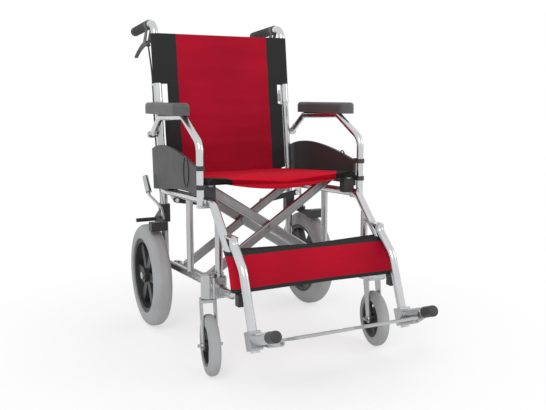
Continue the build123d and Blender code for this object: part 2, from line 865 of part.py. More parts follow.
# Moulded armrest pad, grooved to sit on the tube
with BuildPart() as arm_pad:
    pad_rear_y = axle_y + pad_rear
    pad_front_y = fore(pad_front_lead)
    pad_bottom_z = arm_top_z + pad_seat
    with BuildSketch(Plane.XY.offset(pad_bottom_z)):
        with Locations((-pad_x, (pad_rear_y + pad_front_y) / 2)):
            RectangleRounded(pad_width, pad_rear_y - pad_front_y, pad_corner)
    extrude(amount=pad_thickness)
    fillet(arm_pad.faces().sort_by(Axis.Z)[-1].edges(), pad_edge)
    tube(Plane.YZ.offset(-arm_x), arm_route, arm_bends, arm_r + seat_gap, Mode.SUBTRACT)
write_pair(arm_pad, "arm_pad")

# Moulded side panel with an oval boss and a curved ridge
with BuildPart() as side_panel:
    panel_face = Plane.YZ.offset(-panel_x - panel_thickness / 2)
    with BuildSketch(panel_face):
        with BuildLine():
            panel_top = Spline(
                (axle_y + 48, 528), (fore(10), 541), (fore(85), 545), (fore(167), 539), (fore(254), 525), (fore(342), 506)
            )
            panel_under = Spline((axle_y + 40, 408), (fore(90), 422), (fore(207), 434), (fore(342), 434))
            Line(panel_top @ 0, panel_under @ 0)
            Line(panel_top @ 1, panel_under @ 1)
        make_face()
    extrude(amount=panel_thickness)
    with BuildSketch(panel_face):
        with Locations((fore(panel_boss_lead), panel_boss_z)):
            Ellipse(panel_boss_half_length, panel_boss_half_height - panel_relief)
            Ellipse(
                panel_boss_half_length - panel_boss_wall, panel_boss_half_height - panel_boss_wall, mode=Mode.SUBTRACT
            )
    extrude(amount=-panel_relief)
    # clips round the front leg of the armrest tube
    for z in panel_clip_heights:
        with BuildSketch(Plane.XY.offset(z)):
            with Locations((-arm_x, arm_front_y)):
                RectangleRounded(arm_r * 2 + panel_relief * 2, arm_r * 2 + panel_relief * 2, arm_r)
            with Locations((-panel_x, arm_front_y + arm_r + panel_thickness)):
                Rectangle(panel_thickness, panel_thickness * 2)
        extrude(amount=panel_clip)
    tube(Plane.YZ.offset(-arm_x), arm_route, arm_bends, arm_r + seat_gap, Mode.SUBTRACT)
    split(bisect_by=Plane.YZ.offset(-outer_face - weld - fit_gap), keep=Keep.BOTTOM)
write_pair(side_panel, "side_panel")

# Caster stem housing with its bearing cap
with BuildPart() as caster_head:
    with BuildSketch(Plane.XY.offset(stem_housing_bottom_z)):
        with Locations((-caster_x, casting_y)):
            Circle(stem_housing_r)
    extrude(amount=stem_housing_top_z - stem_housing_bottom_z)
    chamfer(caster_head.edges().filter_by(GeomType.CIRCLE), stem_chamfer)
    with BuildSketch(Plane.XY.offset(stem_housing_top_z)):
        with Locations((-caster_x, casting_y)):
            Circle(stem_cap_r)
    extrude(amount=stem_cap_depth)
    rod(
        (-caster_x, casting_y, stem_housing_bottom_z),
        (-caster_x, casting_y, stem_housing_bottom_z + stem_rise + fit_gap),
        stem_r + fit_gap,
        Mode.SUBTRACT,
    )
write_pair(caster_head, "caster_head")


def wheel_disc(plane, outer_r, inner_r, width):
    """A flat ring, centred on the plane."""
    with BuildSketch(plane) as ring:
        Circle(outer_r)
        Circle(inner_r, mode=Mode.SUBTRACT)
    extrude(ring.sketch, amount=width / 2, both=True)


def spoked_rim(plane, outer_r, wall, width, centre_r, centre_width, bore_r, count, spoke, depth):
    """A moulded rim with broad tapered spokes, in the open part."""
    wheel_disc(plane, outer_r, outer_r - wall, width)
    with BuildSketch(plane) as arms:
        with PolarLocations(0, count):
            with Locations(((outer_r - wall + centre_r) / 2, 0)):
                Rectangle(outer_r - centre_r, spoke)
    extrude(arms.sketch, amount=depth / 2, both=True)
    with BuildSketch(plane) as centre:
        Circle(centre_r)
    extrude(centre.sketch, amount=centre_width / 2, both=True)
    with BuildSketch(plane) as bore:
        Circle(bore_r)
    extrude(bore.sketch, amount=centre_width, both=True, mode=Mode.SUBTRACT)


# Casters, both turned the same way at rest, so each is built in its own place
for name, x in (("right", -caster_x), ("left", caster_x)):
    ahead = (-sine(caster_turn), -cosine(caster_turn), 0)
    beside = (-cosine(caster_turn), sine(caster_turn), 0)
    leg_plane = Plane(origin=(x, casting_y, 0), x_dir=ahead, z_dir=beside)
    caster_plane = Plane(origin=leg_plane.from_local_coords((caster_trail, caster_r, 0)), x_dir=ahead, z_dir=beside)
    fork_inner = caster_hub_width / 2 + run_gap
    fork_outer = fork_inner + fork_leg
    crown_top = stem_housing_bottom_z - run_gap
    with BuildPart() as caster_fork:
        with BuildSketch(leg_plane.offset(fork_inner), leg_plane.offset(-fork_outer)):
            with Locations((caster_trail, caster_r)):
                Circle(fork_eye_r)
            with Locations((0, crown_top - fork_shoulder_r)):
                Circle(fork_shoulder_r)
            make_hull()
        extrude(amount=fork_leg)
        with BuildSketch(Plane(origin=(x, casting_y, crown_top), x_dir=beside, z_dir=(0, 0, 1))):
            RectangleRounded(fork_outer * 2, fork_crown_depth, fork_leg)
        extrude(amount=-fork_crown)
        rod((x, casting_y, crown_top - weld), (x, casting_y, stem_housing_bottom_z + stem_rise), stem_r)
        with BuildSketch(caster_plane):
            Circle(caster_axle_r)
        extrude(amount=fork_outer + caster_nut * 2, both=True)
        with BuildSketch(caster_plane.offset(fork_outer), caster_plane.offset(-fork_outer - caster_nut)):
            RegularPolygon(caster_nut_r, 6)
        extrude(amount=caster_nut)
    write_piece(caster_fork, f"{name}_caster_fork")
    with BuildPart() as caster_rim:
        spoked_rim(
            caster_plane,
            caster_rim_r,
            caster_rim_wall,
            caster_rim_width,
            caster_hub_r,
            caster_hub_width,
            caster_axle_r + fit_gap,
            caster_spokes,
            caster_spoke_width,
            caster_spoke_thickness,
        )
    write_piece(caster_rim, f"{name}_caster_rim")
    with BuildPart() as caster_tyre:
        wheel_disc(caster_plane, caster_r, caster_rim_r + seat_gap, caster_tyre_width)
        fillet(caster_tyre.edges().filter_by(GeomType.CIRCLE).group_by(SortBy.RADIUS)[-1], caster_tyre_round)
    write_piece(caster_tyre, f"{name}_caster_tyre")

# Rear wheel: moulded rim, tyre and fixed axle
wheel_plane = Plane(origin=(-wheel_x, axle_y, wheel_r), x_dir=(0, 1, 0), z_dir=(1, 0, 0))
with BuildPart() as wheel_rim:
    spoked_rim(
        wheel_plane,
        rim_r,
        rim_wall,
        rim_width,
        hub_r,
        hub_width,
        axle_r + fit_gap,
        spokes,
        spoke_width,
        spoke_thickness,
    )
write_pair(wheel_rim, "wheel_rim")

with BuildPart() as wheel_tyre:
    wheel_disc(wheel_plane, wheel_r, rim_r + seat_gap, tyre_width)
    fillet(wheel_tyre.edges().filter_by(GeomType.CIRCLE).group_by(SortBy.RADIUS)[-1], tyre_round)
write_pair(wheel_tyre, "wheel_tyre")

with BuildPart() as wheel_axle:
    hub_outer = wheel_x + hub_width / 2 + run_gap
    hub_inner = wheel_x - hub_width / 2 - run_gap
    plate_outer = outer_face + axle_plate_depth
    cross_rod(-outer_face + axle_nut, -hub_outer, axle_y, wheel_r, axle_r)
    cross_rod(-outer_face + axle_nut, -outer_face + weld, axle_y, wheel_r, axle_nut_r - weld)
    cross_rod(-plate_outer - seat_gap, -hub_inner, axle_y, wheel_r, axle_nut_r)
    cross_rod(-hub_outer, -hub_outer - axle_nut, axle_y, wheel_r, axle_nut_r)
write_pair(wheel_axle, "wheel_axle")

# Wheel brake: clamp on the rear post, side plate with its pivots, and cross bar
brake_face = outer_face + brake_clamp_half - frame_r
with BuildPart() as parking_bracket:
    with BuildSketch(Plane.XY.offset(brake_clamp_bottom_z)):
        with Locations((-frame_x, post_y)):
            RectangleRounded(brake_clamp_half * 2, brake_clamp_half * 2, brake_clamp_half / 3)
            Circle(frame_r + seat_gap, mode=Mode.SUBTRACT)
    extrude(amount=brake_clamp_top_z - brake_clamp_bottom_z)
    with BuildSketch(Plane.XY.offset(brake_clamp_top_z)):
        with Locations((cable_stop_x, cable_stop_y)):
            Circle(cable_stop_r)
    extrude(amount=-cable_stop_height)
    with BuildSketch(Plane.YZ.offset(-brake_face)):
        with Locations((fore(brake_lever_lead), brake_lever_z)):
            Circle(brake_eye_r)
        with Locations((axle_y + brake_bar_rear, brake_bar_z)):
            Circle(brake_eye_r)
        with Locations((post_y, brake_lever_z)):
            Circle(brake_eye_r)
        make_hull()
    extrude(amount=-brake_plate)
    cross_rod(-brake_face, -brake_bar_outer, axle_y + brake_bar_rear, brake_bar_z, brake_bar_r)
    cross_rod(
        -brake_face,
        -brake_face - brake_plate * 2 - run_gap,
        fore(brake_lever_lead),
        brake_lever_z,
        brake_pin_r,
    )
    cross_rod(
        -brake_face,
        -brake_face - brake_plate * 3 - run_gap * 2,
        fore(shoe_pivot_lead),
        shoe_pivot_z,
        brake_pin_r,
    )
write_pair(parking_bracket, "parking_bracket")

# Hand lever of the wheel brake, with its moulded grip
with BuildPart() as parking_lever:
    lever_inner = brake_face + brake_plate + run_gap
    lever_x = -lever_inner - brake_plate / 2
    with BuildSketch(Plane.YZ.offset(-lever_inner)):
        with Locations((fore(brake_lever_lead), brake_lever_z)):
            Circle(brake_eye_r)
        with Locations((fore(brake_lever_lead) + lever_root_back, brake_lever_z + lever_root_rise)):
            Circle(brake_lever_r)
        make_hull()
        with Locations((fore(brake_lever_lead), brake_lever_z)):
            Circle(brake_pin_r + fit_gap, mode=Mode.SUBTRACT)
    extrude(amount=-brake_plate)
    with BuildLine() as lever_route:
        FilletPolyline(
            (lever_x, fore(brake_lever_lead) + lever_root_back, brake_lever_z + lever_root_rise),
            (lever_x - lever_spread, fore(0), lever_bend_z),
            (-lever_grip_x, axle_y + 26, lever_bend_z + 18),
            (-lever_grip_x, axle_y + 62, lever_top_z),
            radius=lever_bend,
        )
    with BuildSketch(Plane(origin=lever_route.line @ 0, z_dir=lever_route.line % 0)):
        Circle(brake_lever_r)
    sweep(path=lever_route.line)
    rod((-lever_grip_x, axle_y + 32, lever_bend_z + 27), (-lever_grip_x, axle_y + 66, lever_top_z + 6), brake_grip_r)
write_pair(parking_lever, "parking_lever")

# Brake shoe on its arm, held just above the tread
with BuildPart() as parking_shoe:
    shoe_inner = lever_inner + brake_plate + run_gap
    with BuildSketch(Plane.YZ.offset(-shoe_inner)):
        with Locations((fore(shoe_pivot_lead), shoe_pivot_z)):
            Circle(brake_eye_r)
        with Locations((fore(shoe_lead), shoe_z)):
            Circle(brake_eye_r)
        make_hull()
        with Locations((fore(shoe_pivot_lead), shoe_pivot_z)):
            Circle(brake_pin_r + fit_gap, mode=Mode.SUBTRACT)
    extrude(amount=-brake_plate)
    with BuildSketch(Plane.YZ.offset(-shoe_inner)):
        with Locations((fore(shoe_lead), shoe_z)):
            RectangleRounded(shoe_length, shoe_height, brake_plate)
    extrude(amount=-shoe_width)
write_pair(parking_shoe, "parking_shoe")

# Swing-away footrest hanger
with BuildPart() as hanger:
    hanger_route = [
        (hanger_pivot_y, hanger_top_z),
        (hanger_pivot_y, hanger_top_z - hanger_neck),
        (fore(hanger_knee_lead), hanger_knee_z),
        (fore(hanger_foot_lead), hanger_foot_z),
    ]
    tube(Plane.YZ.offset(-hanger_x), hanger_route, hanger_bends, hanger_r)
    rod(
        (-hanger_x, hanger_pivot_y, hanger_top_z - hanger_pin_depth - run_gap),
        (-hanger_x, hanger_pivot_y, hanger_top_z),
        hanger_pin_r + fit_gap,
        Mode.SUBTRACT,
    )
write_pair(hanger, "hanger")

# Foot bracket: clamp on the hanger, forward tube with its plug, and the ears of the plate's pin
with BuildPart() as foot_bracket:
    hanger_side = Plane(origin=foot_place(0, 0, 0), x_dir=foot_dir, z_dir=(-1, 0, 0))
    with BuildSketch(hanger_side):
        with Locations((0, (foot_clamp_top - foot_clamp_bottom) / 2)):
            RectangleRounded(foot_clamp_half * 2, foot_clamp_top + foot_clamp_bottom, brake_plate)
    extrude(amount=foot_clamp_half, both=True)
    with BuildSketch(foot_section(0)):
        Circle(foot_tube_r)
    extrude(amount=foot_tube_reach + foot_plug_length)
    fillet(foot_bracket.faces().sort_by(Axis.Y)[0].edges(), foot_plug_round)
    for reach in plate_ear_starts:
        with BuildSketch(foot_section(reach)):
            Circle(foot_tube_r)
            with Locations((plate_hinge_inset, -plate_hinge_drop)):
                Circle(plate_eye_r)
            make_hull()
        extrude(amount=plate_ear)
    rod(
        foot_place(plate_ear_starts[0], plate_hinge_inset, plate_hinge_drop),
        foot_place(plate_ear_starts[1] + plate_ear + weld, plate_hinge_inset, plate_hinge_drop),
        plate_pin_r,
    )
    rod(
        foot_place(0, 0, foot_tube_drop * 2),
        foot_place(0, 0, -foot_tube_drop * 2),
        hanger_r + seat_gap,
        Mode.SUBTRACT,
    )
write_pair(foot_bracket, "foot_bracket")

# Folding footplate with its hinge knuckle and a raised rim
with BuildPart() as footplate:
    plate_span = hanger_x - plate_hinge_inset - plate_gap / 2
    knuckle_start = plate_ear_starts[0] + plate_ear + run_gap
    knuckle_end = plate_ear_starts[1] - run_gap
    plate_hinge = foot_section(0).from_local_coords((plate_hinge_inset, -plate_hinge_drop, 0))
    plate_up = foot_section(0).y_dir
    plate_top = Plane(origin=plate_hinge, x_dir=(1, 0, 0), z_dir=plate_up).offset(plate_rise)
    with BuildSketch(plate_top):
        with Locations(((plate_root + plate_span) / 2, -(plate_front + plate_rear) / 2)):
            RectangleRounded(plate_span - plate_root, plate_front - plate_rear, plate_round)
        with Locations((plate_root, -(knuckle_start + knuckle_end) / 2)):
            Rectangle(plate_root * 2, knuckle_end - knuckle_start)
    extrude(amount=plate_thickness)
    with BuildSketch(plate_top.offset(plate_thickness)):
        with Locations(((plate_root + plate_span) / 2, -(plate_front + plate_rear) / 2)):
            RectangleRounded(
                plate_span - plate_root - plate_rim * 2, plate_front - plate_rear - plate_rim * 2, plate_round - plate_rim
            )
    extrude(amount=-plate_rim / 2, mode=Mode.SUBTRACT)
    rod(
        foot_place(knuckle_start, plate_hinge_inset, plate_hinge_drop),
        foot_place(knuckle_end, plate_hinge_inset, plate_hinge_drop),
        plate_eye_r,
    )
    rod(
        foot_place(knuckle_start - weld, plate_hinge_inset, plate_hinge_drop),
        foot_place(knuckle_end + weld, plate_hinge_inset, plate_hinge_drop),
        plate_pin_r + fit_gap,
        Mode.SUBTRACT,
    )
write_pair(footplate, "footplate")


def brace_frame(side_sign, bar_side):
    """One half of the scissor: two ribbed bars, their brace tube and their seat tube."""
    foot = Vector(-side_sign * brace_axis_x, 0, 0)
    reach = Vector(side_sign * cosine(bar_angle), sine(bar_angle), 0)
    length = (brace_axis_x + seat_tube_x) / cosine(bar_angle)
    for lead in (brace_front_lead, brace_rear_lead):
        plane = brace_plane(lead).offset(bar_side * bar_offset)
        start = plane.from_local_coords(foot + reach * bar_start)
        along = plane.from_local_coords(foot + reach * length) - plane.from_local_coords(foot)
        with BuildSketch(Plane(origin=start, x_dir=brace_dir, z_dir=along)) as bar:
            RectangleRounded(bar_thickness, bar_depth, bar_round)
            with Locations((bar_thickness / 2, bar_depth / 5), (bar_thickness / 2, -bar_depth / 5)):
                Rectangle(bar_rib * 2, bar_depth / 5, mode=Mode.SUBTRACT)
            with Locations((-bar_thickness / 2, bar_depth / 5), (-bar_thickness / 2, -bar_depth / 5)):
                Rectangle(bar_rib * 2, bar_depth / 5, mode=Mode.SUBTRACT)
        extrude(bar.sketch, amount=length - bar_start - bar_stop)
    rod(
        brace_place(foot.X, 0, brace_tube_rear_lead),
        brace_place(foot.X, 0, brace_tube_front_lead),
        brace_tube_r,
    )
    rod(
        brace_place(side_sign * seat_tube_x, seat_tube_rise, seat_rear_lead),
        brace_place(side_sign * seat_tube_x, seat_tube_rise, seat_front_lead),
        seat_tube_r,
    )


def brace_bolts(radius, head_r, mode=Mode.ADD):
    """The two pivot bolts where the bars cross."""
    for lead in (brace_front_lead, brace_rear_lead):
        middle = brace_plane(lead).offset(-2 * bar_offset - run_gap)
        with BuildSketch(Plane(origin=middle.from_local_coords((0, brace_centre_rise, 0)), z_dir=brace_dir)) as shank:
            Circle(radius)
        extrude(shank.sketch, amount=4 * bar_offset, mode=mode)
        if head_r:
            front = brace_plane(lead).offset(bar_offset + bar_thickness / 2)
            with BuildSketch(Plane(origin=front.from_local_coords((0, brace_centre_rise, 0)), z_dir=brace_dir)) as head:
                Circle(head_r)
            extrude(head.sketch, amount=bolt_head)


# Cross brace: the front pair of bars carries the left seat tube, the rear pair the right one
with BuildPart() as brace_a:
    brace_frame(1, 1)
    brace_bolts(brace_bolt_r, brace_bolt_head_r)
write_piece(brace_a, "brace_a")

with BuildPart() as brace_b:
    brace_frame(-1, -1)
    brace_bolts(brace_bolt_r + fit_gap, 0, Mode.SUBTRACT)
write_piece(brace_b, "brace_b")

# Folding links between the side frames and the rear cross
link_boss_long = link_boss_short + bar_offset * 2
for name, mirror_sign, boss in (("right", -1, link_boss_short), ("left", 1, link_boss_long)):
    with BuildPart() as fold_link:
        with BuildSketch(link_front):
            with Locations((mirror_sign * link_pivot_x, link_pivot_rise)):
                Circle(link_eye_r)
            with Locations((mirror_sign * link_pin_x, link_pin_rise)):
                Circle(link_eye_r)
            make_hull()
            with Locations((mirror_sign * link_pivot_x, link_pivot_rise)):
                Circle(link_pin_r + fit_gap, mode=Mode.SUBTRACT)
        extrude(amount=-link_thickness)
        with BuildSketch(link_front):
            with Locations((mirror_sign * link_pin_x, link_pin_rise)):
                Circle(link_boss_r)
        extrude(amount=boss)
    write_piece(fold_link, f"{name}_fold_link")

# Seat upholstery, drawn over the two seat tubes
with BuildPart() as seat_sling:
    over_r = seat_tube_r + fit_gap
    with BuildSketch(brace_plane(seat_cloth_rear_lead)):
        with BuildLine():
            inner_wrap = ThreePointArc(
                (seat_tube_x + over_r, seat_tube_rise + weld / 4),
                (seat_tube_x + over_r * sine(45), seat_tube_rise + over_r * sine(45)),
                (seat_tube_x, seat_tube_rise + over_r),
            )
            outer_wrap = ThreePointArc(
                (seat_tube_x + over_r + cloth, seat_tube_rise + weld / 4),
                (seat_tube_x + (over_r + cloth) * sine(45), seat_tube_rise + (over_r + cloth) * sine(45)),
                (seat_tube_x, seat_tube_rise + over_r + cloth),
            )
            Line(inner_wrap @ 0, outer_wrap @ 0)
            Spline(outer_wrap @ 1, (0, seat_tube_rise + seat_crown), tangents=[(-1, 0), (-1, 0)])
            Line(inner_wrap @ 1, (seat_tube_x - seat_shelf, seat_tube_rise + seat_shelf_rise))
            Spline(
                (seat_tube_x - seat_shelf, seat_tube_rise + seat_shelf_rise),
                (0, seat_tube_rise - seat_sag),
                tangents=[(-1, -seat_shelf_slope), (-1, 0)],
            )
            mirror(about=Plane.YZ)
        make_face()
    extrude(amount=(seat_cloth_front_lead - seat_cloth_rear_lead) / cosine(lower_rail_slope))
write_piece(seat_sling, "seat_sling")

# Upper back upholstery with sleeves round both back tubes
with BuildPart() as back_sling_upper:
    sleeve_inner = frame_r + fit_gap
    sleeve_outer = sleeve_inner + cloth
    with BuildSketch(back_section(rise_of(back_join_z))):
        with Locations((-frame_x, 0), (frame_x, 0)):
            Circle(sleeve_outer)
        with Locations((0, -sleeve_outer + back_pad / 2)):
            Rectangle(frame_x * 2, back_pad)
        with Locations((-frame_x, 0), (frame_x, 0)):
            Circle(sleeve_inner, mode=Mode.SUBTRACT)
    extrude(amount=rise_of(back_top_z) - rise_of(back_join_z))
write_piece(back_sling_upper, "back_sling_upper")

# Lower back upholstery, between the posts and notched beside the folding joints
with BuildPart() as back_sling_lower:
    with BuildSketch(back_section(rise_of(back_bottom_z))):
        with Locations((0, -sleeve_outer + back_pad / 2)):
            Rectangle(back_lower_half * 2, back_pad)
    extrude(amount=back_notch_rise - rise_of(back_bottom_z))
    with BuildSketch(back_section(back_notch_rise)):
        with Locations((0, -sleeve_outer + back_pad / 2)):
            Rectangle(back_notch_half * 2, back_pad)
    extrude(amount=rise_of(back_join_z) - back_notch_rise - weld / 4)
write_piece(back_sling_lower, "back_sling_lower")

# Calf strap, wrapped round the front tubes of both side frames
with BuildPart() as calf_strap:
    strap_inner = frame_r + fit_gap
    strap_outer = strap_inner + strap_wall
    for x in (-frame_x, frame_x):
        strap_side = Plane.YZ.offset(x)
        tube(strap_side, rail_route, rail_bends, strap_outer)
    with BuildSketch(Plane.YZ.offset(-frame_x)):
        with BuildLine() as strap_line:
            FilletPolyline(*rail_route, radius=rail_bends)
        trace(strap_line.line, strap_outer * 2)
        with BuildLine(mode=Mode.PRIVATE) as strap_core:
            FilletPolyline(*rail_route, radius=rail_bends)
        trace(strap_core.line, strap_inner * 2, mode=Mode.SUBTRACT)
        with BuildLine(mode=Mode.PRIVATE) as strap_window:
            Polyline(
                (fore(strap_top_lead), strap_top_z),
                (fore(strap_front_lead), strap_top_z),
                (fore(strap_front_lead), strap_bottom_z),
                (fore(strap_bottom_lead), strap_bottom_z),
                close=True,
            )
        make_face(strap_window.edges(), mode=Mode.INTERSECT)
    extrude(amount=frame_x * 2)
    with BuildSketch(Plane.YZ.offset(-frame_x - strap_outer * 2)):
        with Locations((fore(strap_bottom_lead), (strap_top_z + strap_bottom_z) / 2)):
            Rectangle(strap_outer * 12, strap_top_z - strap_bottom_z)
    extrude(amount=(frame_x + strap_outer * 2) * 2, mode=Mode.INTERSECT)
    for x in (-frame_x, frame_x):
        tube(Plane.YZ.offset(x), rail_route, rail_bends, strap_inner, Mode.SUBTRACT)
write_piece(calf_strap, "calf_strap")
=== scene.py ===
import math
import bpy
import bmesh
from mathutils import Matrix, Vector, noise


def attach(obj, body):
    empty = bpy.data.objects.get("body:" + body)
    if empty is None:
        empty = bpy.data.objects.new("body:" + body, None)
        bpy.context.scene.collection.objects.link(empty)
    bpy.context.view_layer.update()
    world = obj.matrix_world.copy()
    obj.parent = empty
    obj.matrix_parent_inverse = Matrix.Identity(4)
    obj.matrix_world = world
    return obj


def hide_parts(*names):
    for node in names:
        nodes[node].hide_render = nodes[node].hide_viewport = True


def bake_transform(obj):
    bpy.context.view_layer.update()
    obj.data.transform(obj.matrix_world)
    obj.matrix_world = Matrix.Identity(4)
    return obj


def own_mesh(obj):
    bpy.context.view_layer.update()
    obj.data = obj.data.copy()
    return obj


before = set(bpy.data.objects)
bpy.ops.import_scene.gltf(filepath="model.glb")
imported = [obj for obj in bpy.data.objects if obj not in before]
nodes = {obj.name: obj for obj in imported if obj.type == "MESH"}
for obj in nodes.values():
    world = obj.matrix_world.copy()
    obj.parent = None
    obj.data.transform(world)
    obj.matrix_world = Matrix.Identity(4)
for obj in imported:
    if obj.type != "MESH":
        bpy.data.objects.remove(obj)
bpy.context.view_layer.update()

# Sizes in metres, the same as the CAD model's
FRAME_X = 0.212
FRAME_R = 0.011
POST_Y = 0.2455
RAIL_REAR_Z = 0.404
LOWER_RAIL_Z = 0.182
LEAN = math.radians(7.0)
SLOPE = math.radians(3.92)
SEAT_TUBE_X = 0.204
SEAT_TUBE_RISE = 0.2573
FOOT_DIR = (0, -0.93432, 0.35644)
PLUG_START = 0.42253 + 0.091

# Back cloth
BACK_TOP = 0.868
BACK_JOIN = 0.722
BACK_BOTTOM = 0.446
BACK_FRONT = -0.0129
BACK_REAR = 0.0005
BACK_STEPS = 72
UPPER_ROWS = 48
LOWER_ROWS = 80
SLEEVE_WALL = 0.0019
SLEEVE_BLEND = 0.03
SLEEVE_STEPS = 8
FITTINGS_Z = 0.456
HINGE_RISE = 0.2545
FITTINGS_HALF, LOWER_HALF, HINGE_HALF = 0.184, 0.197, 0.183
HEM_WIDTH, HEM_DEPTH = 0.006, 0.003
RED_HALF = 0.150

# Seat cloth
SEAT_REAR, SEAT_FRONT = 0.026, 0.416
SEAT_OUTER, SEAT_INNER = 0.0119, 0.0103
SEAT_ROLL = 0.013
SEAT_SWELL = 0.03
SEAT_WRAP = math.pi * 0.62
SEAT_WRAP_STEPS = 8
SEAT_STEPS = 80
SEAT_ROWS = 72

# Calf strap
STRAP_LOW, STRAP_HIGH = 0.230, 0.320
STRAP_BINDING = 0.009
STRAP_WALL = 0.0022
STRAP_HEM = 0.0008
STRAP_WRAP = math.radians(326)
STRAP_WRAP_STEPS = 20
STRAP_STEPS = 80
STRAP_ROWS = 36

# Colours
BLACK_CLOTH = (0.028, 0.028, 0.029)
BLACK_PLASTIC = (0.02, 0.02, 0.021)
FOOT_METAL = (0.5, 0.51, 0.52)


# Materials
class Value:
    """A socket that arithmetic works on. Each step adds a Math node."""

    def __init__(self, space, socket):
        self.space, self.socket = space, socket

    def math(self, operation, *values):
        return self.space.add("ShaderNodeMath", {"operation": operation}, dict(enumerate(values)))

    def __sub__(self, other):
        return self.math("SUBTRACT", self, other)

    def __rsub__(self, other):
        return self.math("SUBTRACT", other, self)

    def __mul__(self, other):
        return self.math("MULTIPLY", self, other)

    __rmul__ = __mul__

    def __abs__(self):
        return self.math("ABSOLUTE", self)

    def larger(self, other):
        return self.math("MAXIMUM", self, other)


class NodeSpace:
    """The nodes of a material or of the world."""

    def __init__(self, owner):
        owner.use_nodes = True
        self.tree = owner.node_tree

    def fill(self, socket, value):
        """Gives a socket a link, a colour or a number."""
        if isinstance(value, Value):
            self.tree.links.new(value.socket, socket)
        elif socket.type == "RGBA":
            socket.default_value = (*value, 1)
        else:
            socket.default_value = value

    def add(self, kind, settings=None, inputs=None, output=0):
        """Adds a node: first its settings, then the values or links of its sockets."""
        node = self.tree.nodes.new(kind)
        for setting, value in (settings or {}).items():
            setattr(node, setting, value)
        for socket, value in (inputs or {}).items():
            self.fill(node.inputs[socket], value)
        return Value(self, node.outputs[output])

    def span(self, value, low, high, start=0.3, end=0.7):
        """Low at the start of a value's span and high at its end."""
        ends = {"From Min": start, "From Max": end, "To Min": low, "To Max": high}
        return self.add("ShaderNodeMapRange", inputs={"Value": value, **ends}, output="Result")

    def step_at(self, value, place, soft=0.0006):
        """0 below a place and 1 above it."""
        return self.span(value, 0, 1, place - soft, place + soft)

    def mix(self, value, first, second):
        """The first colour where a value is 0, and the second where it is 1."""
        colors = {"Factor": value, 6: first, 7: second}
        return self.add("ShaderNodeMix", {"data_type": "RGBA"}, colors, output=2)

    def seen_directly(self):
        """1 for what the camera sees directly, mirrored or through glass, and 0 for the rest."""
        rays = ("Is Camera Ray", "Is Glossy Ray", "Is Transmission Ray")
        seen, mirrored, through = (self.add("ShaderNodeLightPath", output=ray) for ray in rays)
        return seen.larger(mirrored.larger(through))


class Finish(NodeSpace):
    """A material, its Principled shader and the object's own coordinates."""

    def __init__(self, name, color, rough, metallic=0.0):
        self.material = bpy.data.materials.new(name)
        super().__init__(self.material)
        self.shader = self.tree.nodes["Principled BSDF"]
        self.set("Base Color", color)
        self.set("Roughness", rough)
        self.set("Metallic", metallic)
        self.coords = self.add("ShaderNodeTexCoord", output="Object")

    def set(self, socket, value):
        """Fills one of the shader's sockets."""
        self.fill(self.shader.inputs[socket], value)

    def cloud(self, scale, detail=3.0, stretch=(1, 1, 1)):
        """Noise over the object, from 0 to 1."""
        place = self.add("ShaderNodeMapping", inputs={"Scale": stretch, "Vector": self.coords})
        grain = {"Scale": scale, "Detail": detail, "Vector": place}
        return self.add("ShaderNodeTexNoise", inputs=grain, output="Fac")

    def along(self, direction):
        """How far a point lies along a direction."""
        both = {0: self.coords, 1: direction}
        return self.add("ShaderNodeVectorMath", {"operation": "DOT_PRODUCT"}, both, "Value")

    def bump(self, height, distance, strength):
        """Relief on the shader's normal."""
        relief = {"Strength": strength, "Distance": distance, "Height": height}
        self.set("Normal", self.add("ShaderNodeBump", inputs=relief, output="Normal"))


class Fabric(Finish):
    """Woven nylon: crossing threads and faint patches of wear."""

    def __init__(self, name, color):
        super().__init__(name, color, rough=0.85)
        rest = {"attribute_name": "rest_place"}
        self.coords = self.add("ShaderNodeAttribute", rest, output="Vector")
        self.set("Specular IOR Level", 0.12)
        across, upward, ahead = (self.threads(direction) for direction in ("X", "Z", "Y"))
        self.weave = across * upward.larger(ahead)
        self.bump(self.weave, distance=0.0003, strength=0.4)
        wear = self.span(self.cloud(5, 4), 0, 1)
        self.cloth = self.mix(wear, shade(color, 0.86), shade(color, 1.14))

    def threads(self, direction):
        """Fine waves that run along an axis."""
        bands = {"wave_type": "BANDS", "bands_direction": direction}
        pitch = {"Scale": 260, "Distortion": 0.6, "Vector": self.coords}
        return self.add("ShaderNodeTexWave", bands, pitch, "Fac")

    def blacken(self, value, place):
        """Black cloth where a value is past a place, and painted shade in the gaps between the
        threads.
        """
        cloth = self.mix(self.step_at(value, place), self.cloth, BLACK_CLOTH)
        # Painted shade: the weave darkens the cloth up to a fifth of the way towards black, for
        # shade between the threads.
        painted_thread_shade = self.span(self.weave, 0, 0.2, 0, 1)
        self.set("Base Color", self.mix(painted_thread_shade, cloth, BLACK_CLOTH))
        return self.material


def shade(color, factor):
    return tuple(channel * factor for channel in color)


def metal(name, color, rough):
    """Brushed or polished metal: fine streaks in its roughness, and faint tarnish."""
    finish = Finish(name, color, rough, metallic=1.0)
    streaks = finish.cloud(60, 4, (1, 1, 0.15))
    finish.set("Roughness", finish.span(streaks, rough * 0.75, rough * 1.3))
    tarnish = finish.span(finish.cloud(9), 0, 1)
    finish.set("Base Color", finish.mix(tarnish, color, shade(color, 0.9)))
    return finish.material


def plastic(name, color, rough, grain=900, depth=0.0002):
    """Moulded plastic, paint or rubber with a fine grain and slight wear."""
    finish = Finish(name, color, rough)
    finish.bump(finish.cloud(grain, 2), depth, 0.35)
    wear = finish.cloud(14)
    finish.set("Base Color", finish.mix(finish.span(wear, 0, 1), color, shade(color, 1.18)))
    finish.set("Roughness", finish.span(wear, rough * 0.9, rough * 1.1))
    return finish.material


def back_material():
    """Red back with black bands along its sides."""
    fabric = Fabric("back_cloth", (0.38, 0.0025, 0.02))
    return fabric.blacken(abs(fabric.along((1, 0, 0))), RED_HALF)


